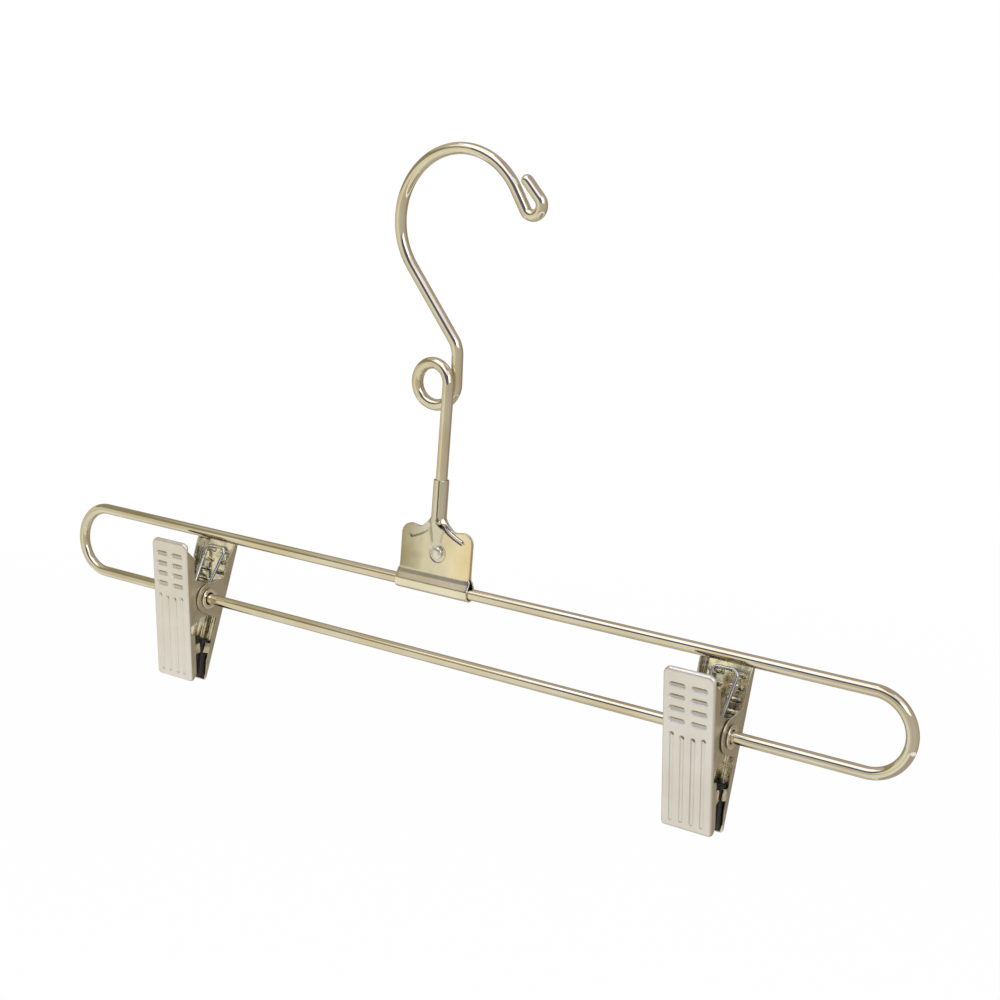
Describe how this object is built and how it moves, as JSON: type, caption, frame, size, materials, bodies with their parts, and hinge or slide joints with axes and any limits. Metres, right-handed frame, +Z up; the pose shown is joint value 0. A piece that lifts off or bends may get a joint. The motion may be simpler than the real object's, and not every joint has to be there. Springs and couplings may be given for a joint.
{
  "type": "clip hanger",
  "caption": "Clip hanger: a wire hook with a twisted-in eye swivels in a folded sheet saddle on a long flat wire loop, whose lower run carries sprung metal clips that slide.",
  "frame": {"origin": "the inside of the hook's crown, where it rests on the rod, on the swivel's axis", "axes": "+X along the wire loop, +Z up along the swivel's axis, -Y toward the side from which the hook opens to the right"},
  "size_m": [0.356, 0.0308, 0.2141],
  "materials": {
    "wire_chrome": "bright plated, slightly warm",
    "saddle_plate": "bright plated sheet, yellowish",
    "rivet_steel": "bright",
    "jaw_satin": "satin outside, bright inside",
    "tube_bright": "bright",
    "spring_steel": "bright drawn wire",
    "pad_rubber": "matte"
  },
  "bodies": {
    "hook": {"hook": "wire_chrome"},
    "frame": {"frame_loop": "wire_chrome", "saddle": "saddle_plate", "saddle_rivet": "rivet_steel"},
    "right_slider": {"right_pivot_tube": "tube_bright"},
    "right_swing": {"right_torsion_spring": "spring_steel"},
    "right_front": {"right_front_jaw": "jaw_satin", "right_front_pad": "pad_rubber"},
    "right_rear": {"right_rear_jaw": "jaw_satin", "right_rear_pad": "pad_rubber"},
    "left_slider": {"left_pivot_tube": "tube_bright"},
    "left_swing": {"left_torsion_spring": "spring_steel"},
    "left_front": {"left_front_jaw": "jaw_satin", "left_front_pad": "pad_rubber"},
    "left_rear": {"left_rear_jaw": "jaw_satin", "left_rear_pad": "pad_rubber"}
  },
  "joints": [
    {"name": "hook_swivel", "type": "hinge", "parent": "hook", "child": "frame", "pos_m": [0, 0, 0], "axis": [0, 0, 1], "continuous": true},
    {"name": "right_slide", "type": "slide", "parent": "frame", "child": "right_slider", "axis": [1, 0, 0], "range_m": [-0.0804, 0.0416]},
    {"name": "right_swing", "type": "hinge", "parent": "right_slider", "child": "right_swing", "pos_m": [0.1084, 0, -0.1762], "axis": [1, 0, 0], "range_deg": [-6.1, 8.9]},
    {"name": "right_rear_open", "type": "hinge", "parent": "right_swing", "child": "right_rear", "pos_m": [0.1084, 0, -0.1762], "axis": [1, 0, 0], "range_deg": [0, 12], "stiffness_Nm_per_rad": 0.3, "springref_deg": -37.24, "deforming": ["right_torsion_spring"]},
    {"name": "right_front_open", "type": "hinge", "parent": "right_swing", "child": "right_front", "pos_m": [0.1084, 0, -0.1762], "axis": [1, 0, 0], "range_deg": [-12, 0]},
    {"name": "left_slide", "type": "slide", "parent": "frame", "child": "left_slider", "axis": [1, 0, 0], "range_m": [-0.0341, 0.0879]},
    {"name": "left_swing", "type": "hinge", "parent": "left_slider", "child": "left_swing", "pos_m": [-0.1159, 0, -0.1762], "axis": [1, 0, 0], "range_deg": [-2.7, 12.3]},
    {"name": "left_rear_open", "type": "hinge", "parent": "left_swing", "child": "left_rear", "pos_m": [-0.1159, 0, -0.1762], "axis": [1, 0, 0], "range_deg": [0, 12], "stiffness_Nm_per_rad": 0.3, "springref_deg": -37.24, "deforming": ["left_torsion_spring"]},
    {"name": "left_front_open", "type": "hinge", "parent": "left_swing", "child": "left_front", "pos_m": [-0.1159, 0, -0.1762], "axis": [1, 0, 0], "range_deg": [-12, 0]}
  ],
  "couplings": [
    {"joint": "right_front_open", "follows": "right_rear_open", "ratio": -1},
    {"joint": "left_front_open", "follows": "left_rear_open", "ratio": -1}
  ]
}
